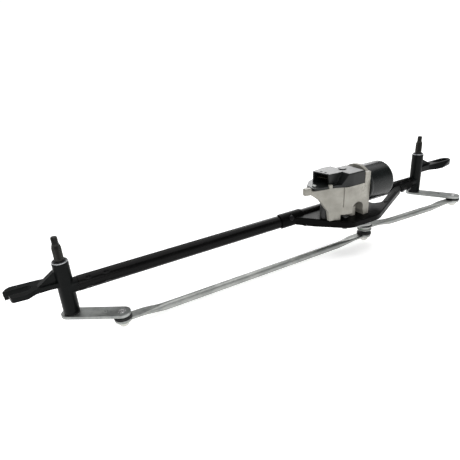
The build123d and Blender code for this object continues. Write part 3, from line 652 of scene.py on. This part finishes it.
def add_stud_nuts():
    """The gearbox's three mounting studs, each with a chamfered nut under the bracket and a threaded end."""
    shells = []
    stud = 3.0
    nut_flats = 9.5
    nut_height = 6.5
    tail = 6.0
    pitch = 1.0

    def nut_shape(radius, height, angle):
        if tail <= height <= tail + nut_height and radius > stud + 0.2:
            return hexagon(radius, nut_flats, angle)
        if height < tail:
            turn = (height / pitch - angle / (2 * math.pi)) % 1.0
            return radius - 0.4 * abs(2 * turn - 1) if radius > 2.7 else radius
        return radius

    for low, high in loose_boxes("motor_mount_screws"):
        centre = (low + high) / 2
        top = (high.z - low.z) / MM
        profile = [(0.01, 0.0), (2.2, 0.0), (2.9, 0.6)]
        profile += [(stud, 0.7 + 0.2 * step) for step in range(26)]
        profile += [(stud, tail - 0.05), (nut_flats / 2 - 0.3, tail), (nut_flats / 2 + 0.75, tail + 0.6)]
        profile += [(nut_flats / 2 + 0.75, tail + nut_height - 0.6), (nut_flats / 2 + 0.4, tail + nut_height)]
        profile += [(stud, tail + nut_height), (stud, top - 0.4), (stud - 0.4, top), (0.01, top)]
        shells.append(turned(Vector((centre.x, centre.y, low.z)), UPRIGHT, profile, 96, nut_shape))
    add_piece("motor_mount_nuts", shells, "frame", "zinc_steel", ["motor_mount_screws"])


def add_cover_screws():
    """Three round-headed cover screws with six-lobed recesses."""
    shells = []
    for low, high in loose_boxes("cover_screws"):
        centre = (low + high) / 2
        radius = (high.x - low.x) / 2 / MM
        depth = (high.z - low.z) / MM

        def lobes(wanted, height, angle):
            inside = -1.4 < height < 0 and wanted < 1.9
            return wanted * (1 + 0.16 * math.cos(6 * angle)) if inside else wanted

        profile = [(0.01, -depth), (1.2, -depth), (1.8, -depth + 0.8), (1.8, -2.4), (radius - 0.2, -2.4),
                   (radius, -2.2), (radius, -1.3), (radius - 0.35, -0.7), (radius - 1.0, -0.2), (2.1, -0.05),
                   (1.75, -0.06), (1.6, -0.3), (1.5, -1.3), (0.01, -1.3)]
        shells.append(turned(Vector((centre.x, centre.y, high.z)), UPRIGHT, profile, 72, lobes))
    add_piece("cover_lobe_screws", shells, "frame", "zinc_steel", ["cover_screws"])


def add_can_screws():
    """Two washer-headed hexagon screws through the motor's end plate."""
    shells = []
    for low, high in loose_boxes("can_screws"):
        centre = (low + high) / 2
        length = (high.x - low.x) / MM
        head = length - 3.0
        flats = 5.5

        def shape(radius, height, angle):
            return hexagon(radius, flats, angle) if height > head + 0.9 and radius > 1 else radius

        profile = [(0.01, 0.0), (1.6, 0.0), (2.0, 0.5), (2.0, head)] + washer_head(flats, 3.6, head, length)
        start = Vector((low.x, centre.y, centre.z))
        shells.append(turned(start, LYING, profile, 96, shape))
    add_piece("motor_hex_screws", shells, "frame", "zinc_steel", ["can_screws"])


def add_crank_nut():
    """The nut that holds the crank on the output shaft, chamfered at both faces."""
    low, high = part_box("crank_nut")
    centre = (low + high) / 2
    height = (high.z - low.z) / MM
    flats = 13.0
    hole = 4.1

    def shape(radius, place, angle):
        return hexagon(radius, flats, angle) if radius > hole + 1 else radius

    corner = flats / 2 / math.cos(math.pi / 6)
    profile = [(hole, 0.4), (hole + 0.5, 0.0), (flats / 2 - 0.2, 0.0), (corner, 0.8), (corner, height - 0.8),
               (flats / 2, height), (hole + 0.5, height), (hole, height - 0.4)]
    shell = turned(Vector((centre.x, centre.y, low.z)), UPRIGHT, profile, 96, shape, closed=True)
    add_piece("crank_hex_nut", [shell], "crank", "zinc_steel", ["crank_nut"])


add_stud_nuts()
add_cover_screws()
add_can_screws()
add_crank_nut()


# ---------------------------------------------------------------- motor can

CAN_WALL = 1.6
CAN_END_RADIUS = 6.0
CAN_STEP = 0.35                         # the can's body is this much smaller than its lip
CLIP_TURNS = (0.0, 1.5 * math.pi)
CLIP_PLACES = (14.0, 40.0)              # from the open end
CLIP_DEPTH = 0.9
CLIP_LENGTH = 2.2
CLIP_WIDTH = 3.4


def add_motor_can():
    """The deep-drawn can: a rolled lip, magnet clips pressed into its side, and a raised bearing boss."""
    low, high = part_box("motor_can")
    radius = (high.z - low.z) / 2 / MM
    length = (high.x - low.x) / MM
    face = length - 3.0                 # the flat end, below the bearing boss

    def clipped(wanted, place, angle):
        if wanted < radius - 0.6:
            return wanted
        depth = 0.0
        for clip_turn in CLIP_TURNS:
            turn = (angle - clip_turn + math.pi) % (2 * math.pi) - math.pi
            across = turn * radius / CLIP_WIDTH
            for station in CLIP_PLACES:
                depth += CLIP_DEPTH * math.exp(-((place - station) / CLIP_LENGTH) ** 4 - across ** 4)
        return wanted - depth

    outside = [(radius - 0.5, 0.0), (radius, 0.5), (radius, 2.2), (radius - CAN_STEP, 2.9)]
    side_places = [3.5 + 0.8 * step for step in range(55)]
    outside += [(radius - CAN_STEP, place) for place in side_places if place < face - CAN_END_RADIUS]
    corner = radius - CAN_END_RADIUS
    for step in range(9):
        turn = math.radians(90 - 90 * step / 8)
        reach = corner + (CAN_END_RADIUS - CAN_STEP) * math.sin(turn)
        outside.append((reach, face - CAN_END_RADIUS + CAN_END_RADIUS * math.cos(turn)))
    outside += [(17.0, face), (16.0, face - 0.5), (12.5, face - 0.5), (11.0, face + 0.4), (10.0, face + 1.2),
                (10.0, face + 2.4), (9.4, face + 3.0), (4.2, face + 3.0), (3.6, face + 2.2),
                (0.01, face + 2.2)]
    inside = [(0.01, face + 1.5), (8.0, face + 1.5), (8.0, face - CAN_WALL), (corner - 1.0, face - CAN_WALL),
              (radius - CAN_WALL, face - CAN_END_RADIUS), (radius - CAN_WALL, 0.0)]
    start = Vector((low.x, (low.y + high.y) / 2, (low.z + high.z) / 2))
    shell = turned(start, LYING, inside + outside, 144, clipped)
    add_piece("drawn_motor_can", [shell], "frame", "motor_paint", ["motor_can"])


add_motor_can()


# ---------------------------------------------------------------- camera, floor and lights

CAMERA_PLACE = Vector((-45.74, -551.17, 239.66)) * MM
CAMERA_AZIMUTH = math.radians(29.1)
CAMERA_ELEVATION = math.radians(23.82)
CAMERA_ROLL = math.radians(-3.82)


def add_camera():
    """The camera at the photo's place, turned by its azimuth, elevation and roll."""
    forward = Vector((math.sin(CAMERA_AZIMUTH) * math.cos(CAMERA_ELEVATION),
                      math.cos(CAMERA_AZIMUTH) * math.cos(CAMERA_ELEVATION), -math.sin(CAMERA_ELEVATION)))
    level = Vector((math.cos(CAMERA_AZIMUTH), -math.sin(CAMERA_AZIMUTH), 0.0))
    upright = level.cross(forward)
    right = level * math.cos(CAMERA_ROLL) + upright * math.sin(CAMERA_ROLL)
    up = upright * math.cos(CAMERA_ROLL) - level * math.sin(CAMERA_ROLL)
    data = bpy.data.cameras.new("camera")
    data.lens = 33.23
    data.sensor_width = 36.0
    data.clip_start = 0.01
    camera = bpy.data.objects.new("camera", data)
    turn = Matrix((right, up, -forward)).transposed().to_4x4()
    camera.matrix_world = Matrix.Translation(CAMERA_PLACE) @ turn
    bpy.context.scene.collection.objects.link(camera)
    bpy.context.scene.camera = camera


def add_floor():
    """A plain pale floor just under the lowest ball sockets."""
    size = 30.0                         # from the middle to each edge, in metres
    mesh = bpy.data.meshes.new("floor")
    z = cad_low.z - 0.5 * MM
    centre = (cad_low + cad_high) / 2
    signs = ((-1, -1), (1, -1), (1, 1), (-1, 1))
    corners = [(centre.x + along * size, centre.y + across * size, z) for along, across in signs]
    mesh.from_pydata(corners, [], [(0, 1, 2, 3)])
    floor = bpy.data.objects.new("floor", mesh)
    bpy.context.scene.collection.objects.link(floor)
    material, shader, _ = new_material("floor_white")
    shader.inputs["Base Color"].default_value = (0.94, 0.94, 0.935, 1.0)
    shader.inputs["Roughness"].default_value = 0.8
    shader.inputs["Emission Color"].default_value = (1.0, 1.0, 1.0, 1.0)
    shader.inputs["Emission Strength"].default_value = 0.5
    mesh.materials.append(material)


def area_light(name, place, target, size, power):
    data = bpy.data.lights.new(name, "AREA")
    data.shape = "DISK"
    data.size = size
    data.energy = power
    light = bpy.data.objects.new(name, data)
    light.location = place
    direction = Vector(target) - Vector(place)
    light.rotation_euler = direction.to_track_quat("-Z", "Y").to_euler()
    bpy.context.scene.collection.objects.link(light)


def add_world():
    """A studio that is white near the floor and darker overhead."""
    world = bpy.data.worlds.new("world")
    world.use_nodes = True
    tree = world.node_tree
    coordinates = tree.nodes.new("ShaderNodeTexCoord")
    split = tree.nodes.new("ShaderNodeSeparateXYZ")
    fade = tree.nodes.new("ShaderNodeValToRGB")
    tree.links.new(coordinates.outputs["Generated"], split.inputs["Vector"])
    tree.links.new(split.outputs["Z"], fade.inputs["Fac"])
    elements = fade.color_ramp.elements
    elements[0].position = 0.12
    elements[0].color = (1.0, 1.0, 1.0, 1.0)
    elements[1].position = 0.36
    elements[1].color = (0.14, 0.14, 0.14, 1.0)
    background = tree.nodes["Background"]
    tree.links.new(fade.outputs["Color"], background.inputs["Color"])
    background.inputs["Strength"].default_value = 1.05
    bpy.context.scene.world = world


def add_lights():
    """An even soft light from overhead, a large one behind the right end, and one from the left front."""
    data = bpy.data.lights.new("overhead", "SUN")
    data.energy = 2.3
    data.angle = math.radians(80.0)
    overhead = bpy.data.objects.new("overhead", data)
    overhead.rotation_euler = (math.radians(-12.0), math.radians(10.0), 0.0)
    bpy.context.scene.collection.objects.link(overhead)
    centre = (cad_low + cad_high) / 2
    area_light("back_light", centre + Vector((1.1, 1.3, 0.75)), centre, 0.9, 8.0)
    area_light("front_light", centre + Vector((-0.5, -1.4, 0.7)), centre, 0.8, 8.0)


add_camera()
add_floor()
add_world()
add_lights()
bpy.context.scene.view_settings.view_transform = "Standard"
